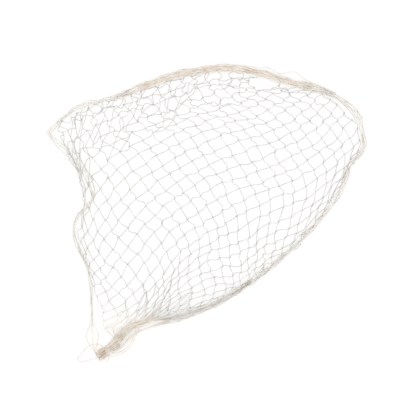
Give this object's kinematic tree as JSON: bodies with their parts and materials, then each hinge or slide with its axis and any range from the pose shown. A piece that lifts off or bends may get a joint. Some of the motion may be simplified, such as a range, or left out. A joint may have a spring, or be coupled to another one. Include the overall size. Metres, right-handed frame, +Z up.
{
  "type": "tennis net",
  "caption": "Bare knotted sport netting in cream cotton twine, laid flat with gathered edges, its far corner drawn into a lashed bundle with a hanging loop",
  "frame": {"origin": "centre of the bounding box in plan, on the ground under the net", "axes": "X to the right along the gathered top edge, Y away from the lashed corner's side, Z up from the ground"},
  "size_m": [1.0667, 0.9951, 0.0183],
  "materials": {
    "net_twine": "laid cotton twine, undyed, matt, with fine fuzz",
    "edge_twine": "laid cotton twine, undyed, drawn together and a little darker",
    "lashing_twine": "tan cotton cord, wound tight"
  },
  "bodies": {
    "root": {"twine_01": "net_twine", "twine_02": "net_twine", "twine_03": "net_twine", "twine_04": "net_twine", "twine_05": "net_twine", "twine_06": "net_twine", "twine_07": "net_twine", "twine_08": "net_twine", "twine_09": "net_twine", "twine_10": "net_twine", "twine_11": "net_twine", "twine_12": "net_twine", "twine_13": "net_twine", "twine_14": "net_twine", "twine_15": "net_twine", "twine_16": "net_twine", "twine_17": "net_twine", "twine_18": "net_twine", "twine_19": "net_twine", "twine_20": "net_twine", "twine_21": "net_twine", "twine_22": "net_twine", "twine_23": "net_twine", "twine_24": "net_twine", "twine_25": "net_twine", "twine_26": "net_twine", "twine_27": "net_twine", "twine_28": "net_twine", "twine_29": "net_twine", "twine_30": "net_twine", "twine_31": "net_twine", "twine_32": "net_twine", "twine_33": "net_twine", "twine_34": "net_twine", "twine_35": "net_twine", "twine_36": "net_twine", "twine_37": "net_twine", "twine_38": "net_twine", "top_edge_1": "edge_twine", "top_edge_2": "edge_twine", "top_edge_3": "edge_twine", "top_edge_4": "edge_twine", "top_edge_5": "edge_twine", "top_edge_6": "edge_twine", "top_edge_7": "edge_twine", "top_edge_8": "edge_twine", "top_edge_9": "edge_twine", "left_edge_1": "edge_twine", "left_edge_2": "edge_twine", "left_edge_3": "edge_twine", "lower_edge_1": "edge_twine", "lower_edge_2": "edge_twine", "lower_edge_3": "edge_twine", "lower_edge_4": "edge_twine", "lashing": "lashing_twine", "corner_loop": "edge_twine", "tail": "edge_twine", "loose_strand_1": "edge_twine", "loose_strand_2": "edge_twine"}
  },
  "joints": []
}
